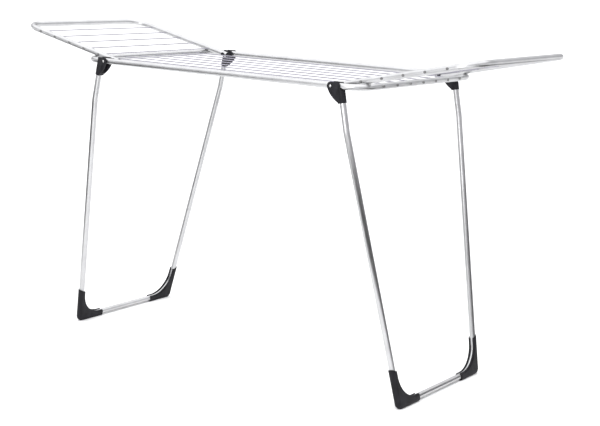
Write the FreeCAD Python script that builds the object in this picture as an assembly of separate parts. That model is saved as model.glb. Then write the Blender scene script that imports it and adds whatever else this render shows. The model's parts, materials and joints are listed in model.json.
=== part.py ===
import FreeCAD, Part
import math
import os

# Folding clothes drying rack with two wings, in millimetres and degrees.
# X runs along the rack, -Y is the front, +Z is up. The origin is on the floor, under the middle.
# Every end piece is drawn once, for the right front corner, and mirrored to the other places.

# ---- Driving dimensions ----
TUBE_R = 9.5              # round steel tube, outside
TUBE_WALL = 1.0
FIT_GAP = 0.05            # play of a plug or socket on its tube
RUNNING_GAP = 0.05        # radial play of a moving part on a pivot pin
MOVING_GAP = 0.3          # air between a moving part and what stops it

FRAME_HEIGHT = 946.0      # axis of the top frame above the floor
FRAME_HALF_LENGTH = 552.0
FRAME_HALF_WIDTH = 320.0
BEND_R = 60.0             # corner bends of the frame and of the wings, on the tube's axis

WIRE_R = 1.75
TOP_WIRES = 7
TOP_WIRE_PITCH = 72.5
WING_WIRES = 5
WING_WIRE_PITCH = 71.6
FIRST_WING_WIRE = 73.6    # from the pivot
CAP_R = 4.0               # button cap on a wire's end
CAP_HEIGHT = 3.2          # how far it stands off the tube

PIVOT_X = 456.0
PIN_R = 3.0
PIN_HEAD_R = 4.0
PIN_HEAD_HEIGHT = 1.8
RETAINER_R = 6.0
RETAINER_WIDTH = 4.0

LEG_TILT = 11.7
LEG_OFFSET = 25.5         # from the pivot out to the leg's axis
LEG_TOP = 22.0            # from the pivot down to the tube's end
LEG_KINK = 139.0          # from the pivot down to where the legs begin to lean together
LEG_KINK_R = 90.0
LEG_LENGTH = 958.7        # from the pivot down to the axis of the floor tube
FOOT_HALF_WIDTH = 228.0   # to the sharp corner of the floor tube's axis
FOOT_BEND_R = 94.0

WING_HALF_WIDTH = 278.0
WING_LENGTH = 446.0       # from the pivot to the axis of the outer tube
WING_TAIL = 13.0          # length of the wing tube past the pivot

FITTING_TOP_R = 12.0      # round head of the leg fitting, about the pivot
FITTING_LENGTH = 54.0     # from the pivot down to the socket's mouth
FITTING_LIP = 3.5         # from the mouth up to where the slanting side meets the socket
FITTING_HALF_THICK = 16.0
FITTING_HEAD_ARC = (75, 200)    # from the shoulder's side round to the slanting side
FITTING_SHOULDER = 8.0    # size of the rounded shoulder above the leg
FITTING_BULGE = 3.6       # of the slanting side's middle past the pivot
FITTING_TAPER_TOP = 12.0  # from the pivot down to where the cheeks begin to narrow
FITTING_FLAT = 2.0        # length of the cheeks' flat past the pivot
SOCKET_R = TUBE_R + 1.9
FITTING_OUTER = LEG_OFFSET + SOCKET_R
FITTING_INNER = LEG_OFFSET - TUBE_R - 1.2
CHEEK_INNER = TUBE_R + MOVING_GAP
BOSS_R = 7.5
BOSS_END = 31.5           # from the middle of the fitting towards the wing

FOOT_LEG_ARM = 113.0      # from the sharp corner of the tube's axis up the leg
FOOT_FLOOR_ARM = 102.0     # and in along the floor tube
FOOT_HALF_THICK = TUBE_R + 2.0
FOOT_END_SLANT = 17.0     # how much shorter the leg arm is on its inner side
FOOT_SLOT = 9.6           # width of the slot that shows the tube inside the bend
SOLE_DEPTH = 13.5         # below the floor tube's axis before the sole is cut level
FOOT_CORNER_R = 20.0
FOOT_INSIDE_R = 86.0      # of the foot's inner side, wider than the tube's own bend
FOOT_EDGE_R = 10.0
FOOT_LIP_R = 6.5          # rounding beside the slot

PLUG_DEPTH = 9.0          # how far a wing's end plug enters the tube, clear of the pivot pin
PLUG_HEAD = 3.0

SLEEVE_HALF_LENGTH = 55.0
SEAM_GAP = 0.4            # between the two halves of the top frame
RIVET_R = 1.6
RIVET_HEAD_R = 2.8
RIVET_HEAD_HEIGHT = 1.0

FRONT_Y = -FRAME_HALF_WIDTH
WING_FRONT_Y = -WING_HALF_WIDTH
# A wing's side tubes rest on the frame where its end has just begun to bend.
PAST_BEND = WING_HALF_WIDTH - (FRAME_HALF_WIDTH - BEND_R)
REST_X = FRAME_HALF_LENGTH - BEND_R + math.sqrt(BEND_R ** 2 - PAST_BEND ** 2)
WING_RISE = math.degrees(math.asin((2 * TUBE_R + MOVING_GAP) / (REST_X - PIVOT_X)))
INSIDE_R = TUBE_R - TUBE_WALL
THROUGH = 2 * TUBE_R      # length of a drill's end past a tube's axis
FAR = 80.0                # well outside a leg fitting

V = FreeCAD.Vector
X_AXIS, Y_AXIS, Z_AXIS = V(1, 0, 0), V(0, 1, 0), V(0, 0, 1)
ORIGIN = V(0, 0, 0)
os.makedirs("parts", exist_ok=True)


# ---- Shared shapes ----
def mirrored(shape, normal):
    return shape.mirror(ORIGIN, normal)


def rounded_path(points, radii):
    """A wire through the points, each inner corner rounded by an arc of its radius."""
    edges = []
    start = points[0]
    for before, corner, after, radius in zip(points, points[1:], points[2:], radii):
        back = (before - corner).normalize()
        on = (after - corner).normalize()
        half = back.getAngle(on) / 2
        middle = (back + on).normalize()
        arc_start = corner + back * (radius / math.tan(half))
        arc_end = corner + on * (radius / math.tan(half))
        arc_middle = corner + middle * (radius / math.sin(half) - radius)
        edges.append(Part.LineSegment(start, arc_start).toShape())
        edges.append(Part.Arc(arc_start, arc_middle, arc_end).toShape())
        start = arc_end
    edges.append(Part.LineSegment(start, points[-1]).toShape())
    return Part.Wire(edges)


def swept_rod(path, radius):
    """A round bar along a path."""
    first = path.Edges[0]
    start = first.valueAt(first.FirstParameter)
    direction = first.tangentAt(first.FirstParameter)
    profile = Part.Wire([Part.makeCircle(radius, start, direction)])
    return path.makePipeShell([profile], True, False)


def swept_tube(path):
    return swept_rod(path, TUBE_R).cut(swept_rod(path, INSIDE_R))


def rod(radius, start, end):
    return Part.makeCylinder(radius, (end - start).Length, start, end - start)


def domed_head(radius, height, base, direction):
    """A low domed rivet head standing on its base point."""
    ball_r = (radius ** 2 + height ** 2) / (2 * height)
    direction = V(direction).normalize()
    ball = Part.makeSphere(ball_r, base + direction * (height - ball_r))
    return ball.common(rod(radius * 1.01, base, base + direction * (height * 1.5)))


def end_cap(surface_point, direction, tube_cutter):
    """A button cap seated on a tube's round side, with a blind hole for the wire."""
    base = surface_point - direction * 3.0
    top = surface_point + direction * CAP_HEIGHT
    body = rod(CAP_R, base, top)
    rim = [edge for edge in body.Edges if edge.Closed and edge.CenterOfMass.sub(top).Length < 0.1]
    body = body.makeFillet(1.4, rim)
    wire_hole = rod(WIRE_R + FIT_GAP, base, top - direction * 1.2)
    return body.cut(tube_cutter).cut(wire_hole)


def turned_onto_pivot(shape, angle):
    """Moves a shape drawn about the pivot to the right end, raising its +X side by the angle."""
    placed = shape.copy()
    placed.rotate(ORIGIN, Y_AXIS, -angle)
    placed.translate(V(PIVOT_X, 0, FRAME_HEIGHT))
    return placed


def export(name, shape):
    shape.exportStep(f"parts/{name}.step")


def export_both_ends(name, right_shape):
    """Writes the right-hand piece and its mirror image; name has a {} for the side."""
    export(name.format("right"), right_shape)
    export(name.format("left"), mirrored(right_shape, X_AXIS))


def export_four_corners(name, right_front_shape):
    """Writes a corner piece at the right and left, front and rear."""
    for row, shape in (("front", right_front_shape), ("rear", mirrored(right_front_shape, Y_AXIS))):
        export_both_ends(name + "_" + row, shape)


def wire_rows():
    """The places across the rack of the wires of the top frame."""
    return [(i - (TOP_WIRES - 1) / 2) * TOP_WIRE_PITCH for i in range(TOP_WIRES)]


# ---- Top frame: two bent tubes, joined by a sleeve in each long side ----
def frame_tube():
    """The right half of the frame, with its holes for wires and pivot pins."""
    y, z = FRAME_HALF_WIDTH, FRAME_HEIGHT
    corners = [V(SEAM_GAP / 2, -y, z), V(FRAME_HALF_LENGTH, -y, z), V(FRAME_HALF_LENGTH, y, z),
               V(SEAM_GAP / 2, y, z)]
    tube = swept_tube(rounded_path(corners, [BEND_R, BEND_R]))
    pin_hole = rod(PIN_R, V(PIVOT_X, -y - THROUGH, z), V(PIVOT_X, y + THROUGH, z))
    tube = tube.cut(pin_hole)
    for row in wire_rows():
        reach = X_AXIS * THROUGH
        middle = V(FRAME_HALF_LENGTH, row, z)
        tube = tube.cut(rod(WIRE_R + FIT_GAP, middle - reach, middle + reach))
    return tube


def splice_sleeve():
    """The inner tube that joins the two halves of the frame's front side."""
    start = V(-SLEEVE_HALF_LENGTH, FRONT_Y, FRAME_HEIGHT)
    end = V(SLEEVE_HALF_LENGTH, FRONT_Y, FRAME_HEIGHT)
    outer = rod(INSIDE_R - FIT_GAP, start, end)
    return outer.cut(rod(INSIDE_R - FIT_GAP - TUBE_WALL, start, end))


def splice_rivet(x):
    """A rivet up through the underside of the frame tube into the sleeve."""
    underside = V(x, FRONT_Y, FRAME_HEIGHT - TUBE_R)
    head = domed_head(RIVET_HEAD_R, RIVET_HEAD_HEIGHT, underside + Z_AXIS * 0.3, -Z_AXIS)
    shank = rod(RIVET_R, underside, underside + Z_AXIS * (2 * TUBE_WALL + 1.5))
    return head.fuse(shank).removeSplitter()


def top_wire(row):
    reach = FRAME_HALF_LENGTH + TUBE_R + CAP_HEIGHT - 1.5
    return rod(WIRE_R, V(-reach, row, FRAME_HEIGHT), V(reach, row, FRAME_HEIGHT))


def frame_wire_caps():
    """The caps on the outside of the right-hand cross tube."""
    middle = V(FRAME_HALF_LENGTH, 0, FRAME_HEIGHT)
    cross_tube = rod(TUBE_R, middle - Y_AXIS * FRAME_HALF_WIDTH, middle + Y_AXIS * FRAME_HALF_WIDTH)
    place = FRAME_HALF_LENGTH + TUBE_R
    return [end_cap(V(place, row, FRAME_HEIGHT), X_AXIS, cross_tube) for row in wire_rows()]


def build_top_frame():
    rivets_x = (-SLEEVE_HALF_LENGTH / 2, SLEEVE_HALF_LENGTH / 2)
    front_rivets = [splice_rivet(x) for x in rivets_x]
    rear_rivets = [mirrored(rivet, Y_AXIS) for rivet in front_rivets]
    holes = Part.makeCompound(front_rivets + rear_rivets)
    tube = frame_tube().cut(holes)
    sleeve = splice_sleeve().cut(holes)
    export_both_ends("frame_tube_{}", tube)
    export("splice_sleeve_front", sleeve)
    export("splice_sleeve_rear", mirrored(sleeve, Y_AXIS))
    export("splice_rivets", holes)
    for number, row in enumerate(wire_rows(), 1):
        export(f"top_wire_{number}", top_wire(row))
    export_both_ends("frame_wire_caps_{}", Part.makeCompound(frame_wire_caps()))


# ---- Pivot pins: each carries a leg fitting and a wing ----
PIN_OUTER_END = FRONT_Y - FITTING_HALF_THICK - MOVING_GAP
PIN_INNER_END = WING_FRONT_Y + TUBE_R + 0.5 + RETAINER_WIDTH


def pivot_pin():
    outer = V(PIVOT_X, PIN_OUTER_END, FRAME_HEIGHT)
    inner = V(PIVOT_X, PIN_INNER_END - 1.0, FRAME_HEIGHT)
    head = domed_head(PIN_HEAD_R, PIN_HEAD_HEIGHT, outer, -Y_AXIS)
    return head.fuse(rod(PIN_R, outer - Y_AXIS * 0.5, inner)).removeSplitter()


def pin_retainer():
    """The push-on cap that keeps the wing on the inner end of its pin."""
    start = V(PIVOT_X, PIN_INNER_END - RETAINER_WIDTH, FRAME_HEIGHT)
    end = V(PIVOT_X, PIN_INNER_END, FRAME_HEIGHT)
    body = rod(RETAINER_R, start, end)
    rim = [edge for edge in body.Edges if edge.Closed and edge.CenterOfMass.sub(end).Length < 0.1]
    return body.makeFillet(1.2, rim).cut(rod(PIN_R, start, end - Y_AXIS * 1.0))


def build_pins():
    export_four_corners("pivot_pin_{}", pivot_pin())
    front_right = pin_retainer()
    front = [front_right, mirrored(front_right, X_AXIS)]
    export("pin_retainers", Part.makeCompound(front + [mirrored(cap, Y_AXIS) for cap in front]))


# ---- Legs, drawn about the pivot: x runs out from it, z up along the leg ----
def leg_path():
    """The axis of the bent leg tube, from its front top end round to its rear top end."""
    half = [V(LEG_OFFSET, FRONT_Y, -LEG_TOP), V(LEG_OFFSET, FRONT_Y, -LEG_KINK),
            V(LEG_OFFSET, -FOOT_HALF_WIDTH, -LEG_LENGTH)]
    other_half = [V(p.x, -p.y, p.z) for p in reversed(half)]
    return rounded_path(half + other_half, [LEG_KINK_R, FOOT_BEND_R, FOOT_BEND_R, LEG_KINK_R])


LEG_LEAN = math.atan2(FRAME_HALF_WIDTH - FOOT_HALF_WIDTH, LEG_LENGTH - LEG_KINK)
LEG_DIRECTION = V(0, -math.sin(LEG_LEAN), math.cos(LEG_LEAN))    # up along the front leg
OUT_OF_LEG = X_AXIS.cross(LEG_DIRECTION)                         # sideways, away from the middle
FOOT_CORNER = V(LEG_OFFSET, -FOOT_HALF_WIDTH, -LEG_LENGTH)       # of the floor tube's axis


def fitting_profile():
    """Side outline of the wedge: round head on the pivot, slanting to the socket round the leg."""
    def on_head(angle):
        angle = math.radians(angle)
        return V(FITTING_TOP_R * math.cos(angle), 0, FITTING_TOP_R * math.sin(angle))

    head_start, head_end = FITTING_HEAD_ARC
    head_middle = (head_start + head_end) / 2
    shoulder = V(FITTING_OUTER - FITTING_SHOULDER, 0, FITTING_TOP_R / 2)
    shoulder_middle = V(FITTING_OUTER - FITTING_SHOULDER / 4, 0, FITTING_TOP_R / 4)
    side_top = V(FITTING_OUTER, 0, 0)
    side_bottom = V(FITTING_OUTER, 0, -FITTING_LENGTH)
    mouth = V(FITTING_INNER, 0, -FITTING_LENGTH)
    slant_foot = V(FITTING_INNER, 0, -FITTING_LENGTH + FITTING_LIP)
    slant_middle = V(-FITTING_BULGE, 0, -FITTING_LENGTH / 2)
    edges = [Part.Arc(on_head(head_end), on_head(head_middle), on_head(head_start)),
             Part.LineSegment(on_head(head_start), shoulder),
             Part.Arc(shoulder, shoulder_middle, side_top),
             Part.LineSegment(side_top, side_bottom),
             Part.LineSegment(side_bottom, mouth),
             Part.LineSegment(mouth, slant_foot),
             Part.Arc(slant_foot, slant_middle, on_head(head_end))]
    return Part.Face(Part.Wire([edge.toShape() for edge in edges]))


def fitting_plan():
    """Outline of the wedge from above: wide cheeks at the pivot, round behind the leg."""
    wide = FITTING_HALF_THICK
    arc_x = LEG_OFFSET - FITTING_FLAT
    arc_y = math.sqrt(SOCKET_R ** 2 - FITTING_FLAT ** 2)
    corners = [V(arc_x, arc_y, FAR), V(FITTING_FLAT, wide, FAR), V(-FAR, wide, FAR),
               V(-FAR, -wide, FAR), V(FITTING_FLAT, -wide, FAR), V(arc_x, -arc_y, FAR)]
    back = Part.Arc(corners[-1], V(FITTING_OUTER, 0, FAR), corners[0]).toShape()
    outline = Part.Wire(Part.makePolygon(corners).Edges + [back])
    return Part.Face(outline).extrude(Z_AXIS * -2 * FAR)


def fitting_taper():
    """End outline of the wedge, which narrows from the cheeks to the socket."""
    wide, narrow = FITTING_HALF_THICK, SOCKET_R
    top, bottom = -FITTING_TAPER_TOP, -FITTING_LENGTH
    corners = [(-wide, FAR), (-wide, top), (-narrow, bottom), (narrow, bottom), (wide, top),
               (wide, FAR), (-wide, FAR)]
    outline = Part.Face(Part.makePolygon([V(-FAR, y, z) for y, z in corners]))
    return outline.extrude(X_AXIS * 2 * FAR)


def frame_tube_room():
    """What the leg fitting leaves free for the frame's tube, from standing to folded."""
    width = 2 * CHEEK_INNER
    inside = Part.makeBox(FAR, width, 2 * FAR, V(CHEEK_INNER - FAR, -CHEEK_INNER, -FAR))
    above = Part.makeBox(2 * FAR, width, FAR, V(-FAR, -CHEEK_INNER, -TUBE_R - MOVING_GAP))
    above.rotate(ORIGIN, Y_AXIS, LEG_TILT)
    return inside.fuse(above)


def leg_fitting():
    """The moulded wedge that holds a leg's top end and straddles the frame tube."""
    thickness = V(0, 2 * FITTING_HALF_THICK, 0)
    wedge = fitting_profile().extrude(thickness)
    wedge.translate(-thickness / 2)
    wedge = wedge.common(fitting_plan()).common(fitting_taper())
    boss = rod(BOSS_R, V(0, CHEEK_INNER + 1, 0), V(0, BOSS_END, 0))
    socket = rod(TUBE_R + FIT_GAP, V(LEG_OFFSET, 0, -FITTING_LENGTH - 1), V(LEG_OFFSET, 0, -LEG_TOP))
    pin_hole = rod(PIN_R + RUNNING_GAP, V(0, -FAR, 0), V(0, FAR, 0))
    fitting = wedge.cut(frame_tube_room()).fuse(boss).removeSplitter()
    fitting = fitting.cut(socket).cut(pin_hole)
    fitting.translate(V(0, FRONT_Y, 0))
    return fitting


def foot_axis(leg_arm, floor_arm):
    """The tube's axis inside a foot, with arms of the given lengths."""
    corners = [FOOT_CORNER + LEG_DIRECTION * leg_arm, FOOT_CORNER, FOOT_CORNER + Y_AXIS * floor_arm]
    return rounded_path(corners, [FOOT_BEND_R])


def edges_along(shape, wire, distance):
    """The edges of the shape that follow the wire at the given distance on both its sides."""
    def follows(edge):
        middle = edge.valueAt((edge.FirstParameter + edge.LastParameter) / 2)
        points = [vertex.Point for vertex in edge.Vertexes] + [middle]
        return all(abs(wire.distToShape(Part.Vertex(point))[0] - distance) < 0.01 for point in points)

    return [edge for edge in shape.Edges if follows(edge)]


def foot_block():
    """The shoe as one rounded block: two arms, a full outer corner and a wide inner curve."""
    leg_end = FOOT_CORNER + LEG_DIRECTION * FOOT_LEG_ARM
    floor_end = FOOT_CORNER + Y_AXIS * FOOT_FLOOR_ARM

    def side(out, down, radius):
        top, bottom = leg_end + OUT_OF_LEG * out, floor_end - Z_AXIS * down
        corner = top + LEG_DIRECTION * ((bottom.z - top.z) / LEG_DIRECTION.z)
        return rounded_path([bottom, corner, top], [radius])

    outer = side(FOOT_HALF_THICK, SOLE_DEPTH, FOOT_CORNER_R)
    inner = side(-FOOT_HALF_THICK, -FOOT_HALF_THICK, FOOT_INSIDE_R)
    ends = [Part.makeLine(outer.OrderedVertexes[i].Point, inner.OrderedVertexes[i].Point)
            for i in (0, -1)]
    outline = Part.Wire(outer.Edges + [ends[1]] + inner.Edges[::-1] + [ends[0]])
    thickness = X_AXIS * 2 * FOOT_HALF_THICK
    block = Part.Face(outline).extrude(thickness)
    block.translate(-thickness / 2)
    block = block.makeFillet(FOOT_EDGE_R, edges_along(block, outer, FOOT_HALF_THICK))
    return block.makeFillet(FOOT_LIP_R, edges_along(block, inner, FOOT_HALF_THICK))


def foot_slot():
    """The slot along the inside of the bend."""
    axis = foot_axis(2 * FOOT_LEG_ARM, 2 * FOOT_FLOOR_ARM)
    leg_end, floor_end = axis.OrderedVertexes[0].Point, axis.OrderedVertexes[-1].Point
    inside = Part.Face(Part.Wire(axis.Edges + [Part.makeLine(floor_end, leg_end)]))
    slot = inside.extrude(X_AXIS * FOOT_SLOT)
    slot.translate(X_AXIS * (-FOOT_SLOT / 2))
    return slot


def foot_end_cut():
    """What is cut off the top of the leg arm, so that it slants down to the inside."""
    end = FOOT_CORNER + LEG_DIRECTION * FOOT_LEG_ARM
    outer, inner = end + OUT_OF_LEG * FOOT_HALF_THICK, end - OUT_OF_LEG * 2 * FOOT_HALF_THICK
    above = LEG_DIRECTION * 5
    corners = [outer, outer + above, inner + above, inner - LEG_DIRECTION * FOOT_END_SLANT, outer]
    prism = Part.Face(Part.makePolygon(corners)).extrude(X_AXIS * 4 * FOOT_HALF_THICK)
    prism.translate(X_AXIS * -2 * FOOT_HALF_THICK)
    return prism


def foot():
    """The corner shoe, pushed over the tube's bend through its slotted inner side."""
    tube_room = swept_rod(foot_axis(2 * FOOT_LEG_ARM, 2 * FOOT_FLOOR_ARM), TUBE_R + FIT_GAP)
    return foot_block().cut(tube_room).cut(foot_slot()).cut(foot_end_cut())


def cut_level(shape):
    """Cuts a standing leg's foot level at the floor."""
    return shape.cut(Part.makeBox(3000, 3000, 100, V(-1500, -1500, -100)))


def build_legs():
    export_both_ends("leg_tube_{}", turned_onto_pivot(swept_tube(leg_path()), LEG_TILT))
    export_four_corners("leg_fitting_{}", turned_onto_pivot(leg_fitting(), LEG_TILT))
    export_four_corners("foot_{}", cut_level(turned_onto_pivot(foot(), LEG_TILT)))


# ---- Wings, drawn about the pivot: x runs along the wing, z up from it ----
def wing_wire_places():
    return [FIRST_WING_WIRE + i * WING_WIRE_PITCH for i in range(WING_WIRES)]


def wing_tube():
    y = WING_HALF_WIDTH
    corners = [V(-WING_TAIL, -y, 0), V(WING_LENGTH, -y, 0), V(WING_LENGTH, y, 0),
               V(-WING_TAIL, y, 0)]
    tube = swept_tube(rounded_path(corners, [BEND_R, BEND_R]))
    drills = [rod(WIRE_R + FIT_GAP, V(place, -y - THROUGH, 0), V(place, y + THROUGH, 0))
              for place in wing_wire_places()]
    drills.append(rod(PIN_R + RUNNING_GAP, V(0, -y - THROUGH, 0), V(0, y + THROUGH, 0)))
    return tube.cut(drills)


def wing_wire(place):
    reach = WING_HALF_WIDTH + TUBE_R + CAP_HEIGHT - 1.5
    return rod(WIRE_R, V(place, -reach, 0), V(place, reach, 0))


def wing_wire_caps():
    side_tube = rod(TUBE_R, V(0, WING_FRONT_Y, 0), V(WING_LENGTH, WING_FRONT_Y, 0))
    surface = WING_FRONT_Y - TUBE_R
    front = [end_cap(V(place, surface, 0), -Y_AXIS, side_tube) for place in wing_wire_places()]
    return front + [mirrored(cap, Y_AXIS) for cap in front]


def wing_end_plug():
    """The moulded plug that closes the end of a wing tube beyond the pivot."""
    end = V(-WING_TAIL, WING_FRONT_Y, 0)
    head = rod(TUBE_R, end - X_AXIS * PLUG_HEAD, end)
    rim = [edge for edge in head.Edges if edge.Closed and edge.CenterOfMass.x < end.x - 1]
    plug = rod(INSIDE_R - FIT_GAP, end, end + X_AXIS * PLUG_DEPTH)
    return head.makeFillet(PLUG_HEAD - 0.5, rim).fuse(plug).removeSplitter()


def build_wings():
    export_both_ends("wing_tube_{}", turned_onto_pivot(wing_tube(), WING_RISE))
    for number, place in enumerate(wing_wire_places(), 1):
        export_both_ends(f"wing_wire_{{}}_{number}", turned_onto_pivot(wing_wire(place), WING_RISE))
    caps = Part.makeCompound([turned_onto_pivot(cap, WING_RISE) for cap in wing_wire_caps()])
    export_both_ends("wing_wire_caps_{}", caps)
    export_four_corners("wing_end_plug_{}", turned_onto_pivot(wing_end_plug(), WING_RISE))


build_top_frame()
build_pins()
build_legs()
build_wings()
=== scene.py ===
import json
import math

import bmesh
import bpy
from mathutils import Matrix, Vector


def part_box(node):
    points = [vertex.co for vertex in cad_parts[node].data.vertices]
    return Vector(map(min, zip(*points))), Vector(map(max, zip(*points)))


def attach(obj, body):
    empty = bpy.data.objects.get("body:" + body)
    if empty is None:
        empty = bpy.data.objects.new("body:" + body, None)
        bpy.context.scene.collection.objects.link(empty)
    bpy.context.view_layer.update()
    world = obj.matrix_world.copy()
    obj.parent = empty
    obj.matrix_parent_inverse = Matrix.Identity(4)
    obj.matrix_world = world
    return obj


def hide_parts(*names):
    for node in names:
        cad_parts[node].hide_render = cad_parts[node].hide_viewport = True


# Looks of a folding clothes drying rack: its moulded fittings, shoes and end plugs, and the
# materials of the steel tubes, the coated wires, their caps and the plated pins. Metres.

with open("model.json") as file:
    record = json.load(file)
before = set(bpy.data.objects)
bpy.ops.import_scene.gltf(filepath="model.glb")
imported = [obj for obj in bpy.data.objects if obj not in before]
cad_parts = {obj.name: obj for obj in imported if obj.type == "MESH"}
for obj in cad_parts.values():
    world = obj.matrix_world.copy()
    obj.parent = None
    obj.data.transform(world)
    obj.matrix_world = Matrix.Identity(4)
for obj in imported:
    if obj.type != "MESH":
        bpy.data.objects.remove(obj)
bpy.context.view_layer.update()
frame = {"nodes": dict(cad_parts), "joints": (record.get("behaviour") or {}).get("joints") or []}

SIDES = ("left", "right")
ROWS = ("front", "rear")
MM = 0.001

# ---- Sizes of the rack that the moulded pieces need ----
TUBE_R = 9.5 * MM
LEG_TILT = 11.7                 # degrees, of a standing leg
LEG_OFFSET = 25.5 * MM          # from the pivot out to the leg's axis
CHEEK_OUT = 16 * MM             # from a fitting's middle to the outside of its cheek
WING_TAIL = 13 * MM             # length of the wing tube past its pivot

# ---- Detail of the moulded pieces ----
FITTING_DETAIL = {"voxel": 0.55 * MM, "smoothing": 5, "faces": 20000}
FOOT_DETAIL = {"voxel": 0.6 * MM, "smoothing": 4, "faces": 24000}
PIN_RING = (4.8 * MM, 7.4 * MM)     # inner and outer radius of the ring about a pin's head
PIN_RING_HEIGHT = 0.7 * MM
CHEEK_SKIN = 1.2 * MM               # depth below the cheek's outside that the ring takes along
SOCKET_BACK = 6 * MM                # past the leg's axis, where the back of the socket begins
PARTING_HALF_WIDTH = 0.9 * MM
PARTING_HEIGHT_MM = 0.25
GROOVE_PITCH = 6 * MM               # of the cross grooves in a shoe's sole
GROOVE_DEPTH = 1.1 * MM
GROOVE_SHARE = (0.55, 1.0)          # part of the pitch that the groove takes
SOLE_SKIN = 1.5 * MM
PLUG_HEAD = 3.0 * MM
PLUG_EDGE = 2.2 * MM                # rounding of the plug's head
PLUG_STEM_R = 8.4 * MM
PLUG_STEM_LENGTH = 9 * MM
PLUG_BARBS = 2
PLUG_BARB_DEPTH = 0.5 * MM
PLUG_SEGMENTS = 64

# ---- Camera ----
CAMERA_PLACE = Vector((2.5627, -3.3117, 1.306))
CAMERA_YAW = -36.44
CAMERA_PITCH = -11.37
CAMERA_ROLL = 2.08
CAMERA_LENS = 76.67


def make_camera():
    """A camera that looks along +Y, then is rolled, pitched and turned."""
    data = bpy.data.cameras.new("camera")
    data.lens = CAMERA_LENS
    data.sensor_width = 36.0
    data.clip_start, data.clip_end = 0.05, 300.0
    camera = bpy.data.objects.new("camera", data)
    bpy.context.scene.collection.objects.link(camera)
    turn = Matrix.Rotation(math.radians(-CAMERA_YAW), 4, "Z")
    pitch = Matrix.Rotation(math.radians(90 + CAMERA_PITCH), 4, "X")
    roll = Matrix.Rotation(math.radians(CAMERA_ROLL), 4, "Z")
    camera.matrix_world = Matrix.Translation(CAMERA_PLACE) @ turn @ pitch @ roll
    bpy.context.scene.camera = camera


# ---- Node helpers ----
class Shader:
    """A new material and short ways to add its nodes."""

    def __init__(self, name, **inputs):
        self.material = bpy.data.materials.new(name)
        self.material.use_nodes = True
        self.tree = self.material.node_tree
        self.surface = self.tree.nodes["Principled BSDF"]
        for socket, value in inputs.items():
            self.surface.inputs[socket.replace("_", " ")].default_value = value

    def add(self, kind, inputs=None, **settings):
        node = self.tree.nodes.new(kind)
        for name, value in settings.items():
            setattr(node, name, value)
        for socket, value in (inputs or {}).items():
            if isinstance(value, bpy.types.NodeSocket):
                self.tree.links.new(value, node.inputs[socket])
            else:
                node.inputs[socket].default_value = value
        return node

    def place(self, kind="Object"):
        return self.add("ShaderNodeTexCoord").outputs[kind]

    def stretched(self, place, scale, turn=(0, 0, 0)):
        """The place, turned by Euler angles in degrees and then scaled along each axis."""
        angles = [math.radians(angle) for angle in turn]
        turned = self.add("ShaderNodeMapping", {"Vector": place, "Rotation": angles})
        scaled = self.add("ShaderNodeMapping", {"Vector": turned.outputs["Vector"], "Scale": scale})
        return scaled.outputs["Vector"]

    def noise(self, place, scale, detail=3.0, roughness=0.5):
        node = self.add("ShaderNodeTexNoise", {"Vector": place, "Scale": scale, "Detail": detail,
                                               "Roughness": roughness})
        return node.outputs["Fac"]

    def cells(self, place, scale):
        return self.add("ShaderNodeTexVoronoi", {"Vector": place, "Scale": scale}).outputs["Distance"]

    def between(self, value, low, high, low_to=0.0, high_to=1.0):
        node = self.add("ShaderNodeMapRange", {"Value": value, "From Min": low, "From Max": high,
                                               "To Min": low_to, "To Max": high_to})
        return node.outputs["Result"]

    def mix(self, factor, a, b):
        """Mixes two colours; each may be a socket or a colour."""
        node = self.add("ShaderNodeMix", {0: factor, 6: a, 7: b}, data_type="RGBA")
        return node.outputs[2]

    def math(self, operation, a, b):
        node = self.add("ShaderNodeMath", {0: a, 1: b}, operation=operation)
        return node.outputs[0]

    def bump(self, height, distance, strength=1.0, below=None):
        inputs = {"Height": height, "Distance": distance, "Strength": strength}
        if below is not None:
            inputs["Normal"] = below
        return self.add("ShaderNodeBump", inputs).outputs["Normal"]

    def drive(self, socket, value):
        self.tree.links.new(value, self.surface.inputs[socket])


def grey(value, tint=(1.0, 1.0, 1.0)):
    return tuple(value * t for t in tint) + (1.0,)


# ---- Materials ----
COOL = (0.985, 0.99, 1.0)
WARM = (1.0, 0.98, 0.93)
LAVENDER = (0.96, 0.93, 1.12)
INK = (1.0, 0.98, 1.18)


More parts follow.
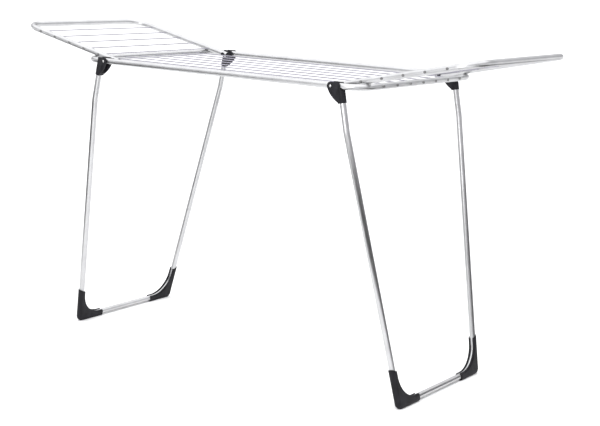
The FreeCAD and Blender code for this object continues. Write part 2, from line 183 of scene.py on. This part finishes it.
def tube_metal(name, long_turn, cross_axis, cross_from):
    """Satin silver tube with fine drawing lines along it.

    long_turn lays the tube's long stretches on X. Its cross stretch runs along Y. It is where the
    size of the cross_axis coordinate is past cross_from, or for Z where it is below cross_from.
    """
    shader = Shader(name, Metallic=1.0)
    place = shader.place()
    along_x, along_y = (6, 900, 900), (900, 6, 900)
    long_lines = shader.noise(shader.stretched(place, along_x, long_turn), 1.0, 4.0, 0.6)
    cross_lines = shader.noise(shader.stretched(place, along_y), 1.0, 4.0, 0.6)
    parts = shader.add("ShaderNodeSeparateXYZ", {"Vector": place})
    distance = shader.math("ABSOLUTE", parts.outputs[cross_axis], 0.0)
    operation = "LESS_THAN" if cross_axis == "Z" else "GREATER_THAN"
    is_cross = shader.math(operation, distance, cross_from)
    kept_long = shader.math("MULTIPLY", long_lines, shader.math("SUBTRACT", 1.0, is_cross))
    kept_cross = shader.math("MULTIPLY", cross_lines, is_cross)
    lines = shader.math("ADD", kept_long, kept_cross)
    clouds = shader.noise(place, 22.0, 5.0, 0.55)
    speckle = shader.noise(place, 1500.0, 2.0, 0.5)
    scuffs = shader.noise(place, 90.0, 6.0, 0.7)
    cloud_part = shader.math("MULTIPLY", clouds, 0.6)
    tone = shader.math("ADD", cloud_part, shader.math("MULTIPLY", lines, 0.4))
    colour = shader.mix(shader.between(tone, 0.35, 0.65), grey(0.49, COOL), grey(0.60, COOL))
    colour = shader.mix(shader.between(scuffs, 0.66, 0.74, 0.0, 0.35), colour, grey(0.40, COOL))
    shader.drive("Base Color", colour)
    line_wear = shader.math("MULTIPLY", lines, 0.5)
    wear = shader.math("ADD", line_wear, shader.math("MULTIPLY", scuffs, 0.5))
    shader.drive("Roughness", shader.between(wear, 0.3, 0.7, 0.28, 0.43))
    fine = shader.bump(speckle, 0.02 * MM, 0.5)
    shader.drive("Normal", shader.bump(lines, 0.03 * MM, 0.5, fine))
    shader.surface.inputs["Specular Tint"].default_value = grey(0.9)
    return shader.material


def coated_wire():
    """Pale smooth plastic coating with a faint waviness along each wire."""
    shader = Shader("coated_wire", IOR=1.5, Coat_Weight=0.25, Coat_Roughness=0.12)
    place = shader.place()
    clouds = shader.noise(place, 30.0, 4.0, 0.5)
    flow = shader.noise(place, 450.0, 3.0, 0.5)
    tone = shader.between(clouds, 0.35, 0.65)
    shader.drive("Base Color", shader.mix(tone, grey(0.22, LAVENDER), grey(0.28, LAVENDER)))
    shader.drive("Roughness", shader.between(flow, 0.3, 0.7, 0.26, 0.42))
    shader.drive("Normal", shader.bump(flow, 0.05 * MM, 0.5))
    return shader.material


def moulded_plastic(name, dark, light, grain_depth, rough, worn):
    """Moulded plastic with a spark-eroded grain, faint flow marks and paler rubbed edges."""
    shader = Shader(name, IOR=1.46, Specular_IOR_Level=0.15)
    place = shader.place()
    flow = shader.noise(shader.stretched(place, (1, 1, 0.35)), 60.0, 4.0, 0.55)
    grain = shader.cells(place, 1700.0)
    pits = shader.noise(place, 3200.0, 2.0, 0.6)
    colour = shader.mix(shader.between(flow, 0.35, 0.7), dark, light)
    edge = shader.between(shader.add("ShaderNodeNewGeometry").outputs["Pointiness"], 0.52, 0.62)
    patchy = shader.math("MULTIPLY", edge, shader.between(shader.noise(place, 220.0), 0.4, 0.6))
    shader.drive("Base Color", shader.mix(patchy, colour, worn))
    shader.drive("Roughness", shader.between(flow, 0.3, 0.7, rough - 0.05, rough + 0.07))
    fine = shader.bump(pits, 0.5 * grain_depth, 0.6)
    shader.drive("Normal", shader.bump(grain, grain_depth, 0.7, fine))
    return shader.material


def plated_steel():
    """Bright zinc plate with turned rings about each pin's own axis."""
    shader = Shader("plated_steel", Metallic=1.0)
    place = shader.place("Generated")
    wave = {"Vector": shader.stretched(place, (1, 0, 1)), "Scale": 6.0, "Distortion": 0.6, "Detail": 2.0}
    rings = shader.add("ShaderNodeTexWave", wave, wave_type="RINGS", rings_direction="Y").outputs["Fac"]
    stain = shader.noise(shader.place(), 260.0, 4.0, 0.6)
    tone = shader.between(stain, 0.35, 0.7)
    shader.drive("Base Color", shader.mix(tone, grey(0.62, COOL), grey(0.46, WARM)))
    shader.drive("Roughness", shader.between(stain, 0.3, 0.7, 0.16, 0.32))
    shader.drive("Normal", shader.bump(rings, 0.03 * MM, 0.35))
    return shader.material


def floor_material():
    shader = Shader("studio_floor", IOR=1.45)
    place = shader.place()
    cloud = shader.noise(place, 0.8, 3.0, 0.5)
    shader.drive("Base Color", shader.mix(cloud, grey(0.90), grey(0.92)))
    shader.surface.inputs["Roughness"].default_value = 0.9
    shader.surface.inputs["Specular IOR Level"].default_value = 0.1
    return shader.material


# ---- Studio ----
FLOOR_HALF_SIZE = 120.0
SIDE_CARD_HEIGHTS = (0.0, 0.8)
LEG_CARD_HEIGHTS = (0.28, 0.70)


def make_panel(name, corners, material):
    """A flat four-cornered part of the studio."""
    mesh = bpy.data.meshes.new(name)
    mesh.from_pydata(corners, [], [(0, 1, 2, 3)])
    mesh.materials.append(material)
    panel = bpy.data.objects.new(name, mesh)
    bpy.context.scene.collection.objects.link(panel)
    return panel


def make_floor():
    size = FLOOR_HALF_SIZE
    corners = [(-size, -size, 0), (size, -size, 0), (size, size, 0), (-size, size, 0)]
    make_panel("floor", corners, floor_material())


def make_world():
    """Soft surroundings: white at the floor's edge and overhead, greyer in between."""
    world = bpy.data.worlds.new("studio")
    world.use_nodes = True
    tree = world.node_tree
    background = tree.nodes["Background"]
    direction = tree.nodes.new("ShaderNodeTexCoord").outputs["Generated"]
    parts = tree.nodes.new("ShaderNodeSeparateXYZ")
    tree.links.new(direction, parts.inputs["Vector"])
    ramp = tree.nodes.new("ShaderNodeValToRGB")
    tree.links.new(parts.outputs["Z"], ramp.inputs["Fac"])
    stops = ramp.color_ramp.elements
    stops[0].position, stops[0].color = 0.0, (0.98, 0.98, 0.99, 1)
    stops[1].position, stops[1].color = 0.75, (0.95, 0.95, 0.97, 1)
    stops.new(0.12).color = (0.64, 0.64, 0.66, 1)
    tree.links.new(ramp.outputs["Color"], background.inputs["Color"])
    background.inputs["Strength"].default_value = 1.0
    bpy.context.scene.world = world


def add_light(name, kind, place, target, energy, **settings):
    data = bpy.data.lights.new(name, kind)
    data.energy = energy
    for setting, value in settings.items():
        setattr(data, setting, value)
    light = bpy.data.objects.new(name, data)
    aim = (Vector(target) - Vector(place)).to_track_quat("-Z", "Y")
    light.matrix_world = Matrix.Translation(place) @ aim.to_matrix().to_4x4()
    bpy.context.scene.collection.objects.link(light)


def make_lights():
    add_light("sky_panel", "SUN", (0, 0, 4), (0.2, 0.3, 0), 2.2, angle=math.radians(120))
    add_light("front_panel", "AREA", (0.7, -2.6, 1.5), (0, 0, 0.5), 26,
              shape="RECTANGLE", size=0.9, size_y=1.4)


def make_reflection_card(name, start, end, heights, shade):
    """A standing grey card, from one place on the floor to another, that only reflections see."""
    low, high = heights
    corners = [(*start, low), (*end, low), (*end, high), (*start, high)]
    shader = Shader(name, Base_Color=grey(shade), Roughness=1.0, Specular_IOR_Level=0.0)
    card = make_panel(name, corners, shader.material)
    card.visible_camera = card.visible_diffuse = card.visible_shadow = False


# ---- Moulded pieces, shaped for the right front corner and mirrored to the other places ----
JOINT_PLACE = {joint["name"]: Vector(joint["pos_m"]) for joint in frame["joints"]}
PIVOT = JOINT_PLACE["leg_right_fold"].copy()
PIVOT.y = sum(corner.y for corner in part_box("pivot_pin_right_front")) / 2
UPRIGHT = Matrix.Rotation(math.radians(LEG_TILT), 3, "Y")


def leg_place(point):
    """A point's place about the pivot with the leg upright: x outwards, z up along the leg."""
    return UPRIGHT @ (point - PIVOT)


def applied(obj):
    """The object's mesh with its modifiers applied; the object is removed."""
    bpy.context.view_layer.update()
    result = obj.evaluated_get(bpy.context.evaluated_depsgraph_get())
    mesh = bpy.data.meshes.new_from_object(result)
    bpy.data.objects.remove(obj)
    return mesh


def working_object(mesh):
    obj = bpy.data.objects.new("working", mesh)
    bpy.context.scene.collection.objects.link(obj)
    return obj


def even_mesh(node, detail):
    """The node's shape as a fine even mesh with softened edges."""
    obj = working_object(frame["nodes"][node].data.copy())
    remesh = obj.modifiers.new("remesh", "REMESH")
    remesh.mode = "VOXEL"
    remesh.voxel_size = detail["voxel"]
    smooth = obj.modifiers.new("smooth", "SMOOTH")
    smooth.factor = 0.5
    smooth.iterations = detail["smoothing"]
    return applied(obj)


def thinned(mesh, faces):
    """The mesh with about this many triangles; it comes in as quads."""
    obj = working_object(mesh)
    decimate = obj.modifiers.new("decimate", "DECIMATE")
    decimate.ratio = min(1.0, faces / (2 * len(mesh.polygons)))
    return applied(obj)


def mirrored_mesh(mesh, x, y):
    copy = mesh.copy()
    copy.transform(Matrix.Diagonal((x, y, 1, 1)))
    if x * y < 0:
        copy.flip_normals()
    return copy


def new_piece(name, mesh, material, body, node):
    piece = bpy.data.objects.new(name, mesh)
    bpy.context.scene.collection.objects.link(piece)
    mesh.materials.clear()
    mesh.materials.append(material)
    mesh.shade_smooth()
    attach(piece, body)
    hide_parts(node)


def put_at_corners(name, mesh, material, body, node):
    """One mirrored copy of the right front mesh at each corner, in place of its CAD node."""
    for side, x in zip(SIDES, (-1, 1)):
        for row, y in zip(ROWS, (1, -1)):
            corner = f"{side}_{row}"
            copy = mirrored_mesh(mesh, x, y)
            new_piece(f"{name}_{corner}", copy, material, f"{body}_{side}", f"{node}_{corner}")


def hump(value, low, high):
    """0 outside low..high, rising smoothly to 1 in the middle."""
    if not low < value < high:
        return 0.0
    return math.sin(math.pi * (value - low) / (high - low)) ** 2


def with_normals(mesh):
    """Each vertex with its normal, all read before any vertex moves."""
    normals = [vertex.normal.copy() for vertex in mesh.vertices]
    return zip(mesh.vertices, normals)


def parting(distance):
    """The share of its height that the mould's parting line has at a distance from its middle."""
    return hump(distance, -PARTING_HALF_WIDTH, PARTING_HALF_WIDTH)


def shape_fitting(mesh):
    """Adds the ring about the pin's head and the mould's parting line."""
    for vertex, normal in with_normals(mesh):
        place = leg_place(vertex.co)
        if place.y < -CHEEK_OUT + CHEEK_SKIN:
            vertex.co.y -= PIN_RING_HEIGHT * hump(math.hypot(place.x, place.z), *PIN_RING)
        elif place.x > LEG_OFFSET + SOCKET_BACK:
            vertex.co += normal * PARTING_HEIGHT_MM * MM * parting(place.y)


def shape_foot(mesh):
    """Adds the parting line down the outer corner and the cross grooves of the sole."""
    for vertex, normal in with_normals(mesh):
        sole = max(0.0, 1 - vertex.co.z / SOLE_SKIN)
        if sole > 0 and normal.z < -0.5:
            phase = vertex.co.y / GROOVE_PITCH % 1.0
            vertex.co.z += GROOVE_DEPTH * sole * hump(phase, *GROOVE_SHARE)
        elif normal.y < -0.7:
            sideways = leg_place(vertex.co).x - LEG_OFFSET
            vertex.co += normal * PARTING_HEIGHT_MM * MM * parting(sideways)


def lathed(profile, segments):
    """A mesh turned about Z from (radius, height) points that start and end on the axis."""
    shape = bmesh.new()
    rings = []
    for radius, height in profile[1:-1]:
        turns = (2 * math.pi * i / segments for i in range(segments))
        points = [(radius * math.cos(a), radius * math.sin(a), height) for a in turns]
        rings.append([shape.verts.new(point) for point in points])
    first = shape.verts.new((0, 0, profile[0][1]))
    last = shape.verts.new((0, 0, profile[-1][1]))
    for i in range(segments):
        j = (i + 1) % segments
        shape.faces.new((first, rings[0][i], rings[0][j]))
        shape.faces.new((last, rings[-1][j], rings[-1][i]))
        for lower, upper in zip(rings, rings[1:]):
            shape.faces.new((lower[i], upper[i], upper[j], lower[j]))
    bmesh.ops.recalc_face_normals(shape, faces=shape.faces)
    mesh = bpy.data.meshes.new("lathed")
    shape.to_mesh(mesh)
    shape.free()
    return mesh


def quarter_arc(radius, height, size, steps=6):
    """Points of a profile's rounded edge, from its top round to its side."""
    angles = (math.radians(90 - 90 * i / steps) for i in range(steps + 1))
    return [(radius + size * math.cos(a), height + size * math.sin(a)) for a in angles]


def plug_profile():
    """(radius, height) points of the plug: a dished, round-edged head on a barbed stem."""
    dish = [(radius * MM, PLUG_HEAD - depth * MM)
            for radius, depth in ((0, 0.7), (2.0, 0.65), (3.6, 0.45), (4.6, 0.08), (5.2, 0))]
    rim = quarter_arc(TUBE_R - PLUG_EDGE, PLUG_HEAD - PLUG_EDGE, PLUG_EDGE)
    chamfer = 0.35 * MM
    neck = [(TUBE_R, chamfer), (TUBE_R - chamfer, 0), (PLUG_STEM_R, 0)]
    waist = PLUG_STEM_R - PLUG_BARB_DEPTH
    barbs = []
    for barb in range(PLUG_BARBS):
        top = -(2.0 + 3.2 * barb) * MM
        barbs += [(waist, top), (PLUG_STEM_R, top - 0.4 * MM), (waist, top - 2.4 * MM)]
    tip = [(PLUG_STEM_R - 1.2 * MM, -PLUG_STEM_LENGTH), (0, -PLUG_STEM_LENGTH)]
    return dish + rim + neck + barbs + tip


def end_plug_mesh():
    """The plug in the right wing tube's front end, set along the raised wing."""
    mesh = lathed(plug_profile(), PLUG_SEGMENTS)
    wing_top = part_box("wing_tube_right")[1]
    pivot = JOINT_PLACE["wing_right_fold"]
    rise = math.atan2(wing_top.z - TUBE_R - pivot.z, wing_top.x - TUBE_R - pivot.x)
    wing_y = sum(corner.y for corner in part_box("wing_end_plug_right_front")) / 2
    along_wing = Vector((math.cos(rise), 0, math.sin(rise)))
    centre = Vector((pivot.x, wing_y, pivot.z)) - along_wing * WING_TAIL
    aim = (-along_wing).to_track_quat("Z", "Y").to_matrix().to_4x4()
    mesh.transform(Matrix.Translation(centre) @ aim)
    return mesh


def make_mouldings(plastic):
    fitting = even_mesh("leg_fitting_right_front", FITTING_DETAIL)
    shape_fitting(fitting)
    fitting = thinned(fitting, FITTING_DETAIL["faces"])
    put_at_corners("moulded_fitting", fitting, plastic, "leg", "leg_fitting")
    foot = even_mesh("foot_right_front", FOOT_DETAIL)
    shape_foot(foot)
    foot = thinned(foot, FOOT_DETAIL["faces"])
    put_at_corners("moulded_foot", foot, plastic, "leg", "foot")
    put_at_corners("moulded_end_plug", end_plug_mesh(), plastic, "wing", "wing_end_plug")


# ---- Carried-over CAD nodes ----
def give(node, material):
    mesh = frame["nodes"][node].data
    mesh.materials.clear()
    mesh.materials.append(material)


def dress_nodes(plastic):
    """Gives each node the material that its name's start chooses, or else the plastic."""
    cap = moulded_plastic("grey_caps", dark=grey(0.13), light=grey(0.18),
                          grain_depth=0.02 * MM, rough=0.40, worn=grey(0.3))
    wire = coated_wire()
    steel = plated_steel()
    frame_metal = tube_metal("frame_metal", long_turn=(0, 0, 0), cross_axis="X", cross_from=0.49)
    leg_metal = tube_metal("leg_metal", long_turn=(0, 90, 0), cross_axis="Z", cross_from=0.03)
    wing_metal = tube_metal("wing_metal", long_turn=(0, 0, 0), cross_axis="X", cross_from=0.83)
    chosen = {"frame_tube": frame_metal, "leg_tube": leg_metal, "wing_tube": wing_metal,
              "splice_sleeve": leg_metal, "top_wire": wire, "wing_wire_left": wire,
              "wing_wire_right": wire, "frame_wire_caps": cap, "wing_wire_caps": cap,
              "pivot_pin": steel, "splice_rivets": steel}
    for node in frame["nodes"]:
        matches = [material for start, material in chosen.items() if node.startswith(start)]
        give(node, matches[0] if matches else plastic)


make_camera()
make_floor()
make_world()
make_lights()
make_reflection_card("right_card", (2.015, -0.625), (1.006, 0.743), SIDE_CARD_HEIGHTS, shade=0.06)
make_reflection_card("left_card", (-0.611, -1.446), (-1.383, -0.400), SIDE_CARD_HEIGHTS, shade=0.06)
make_reflection_card("leg_card", (0.35, -0.87), (1.18, -0.32), LEG_CARD_HEIGHTS, shade=0.02)
charcoal = moulded_plastic("charcoal_plastic", dark=grey(0.007, INK), light=grey(0.020, INK),
                           grain_depth=0.05 * MM, rough=0.48, worn=grey(0.05))
dress_nodes(charcoal)
make_mouldings(charcoal)
bpy.context.scene.view_settings.view_transform = "Standard"
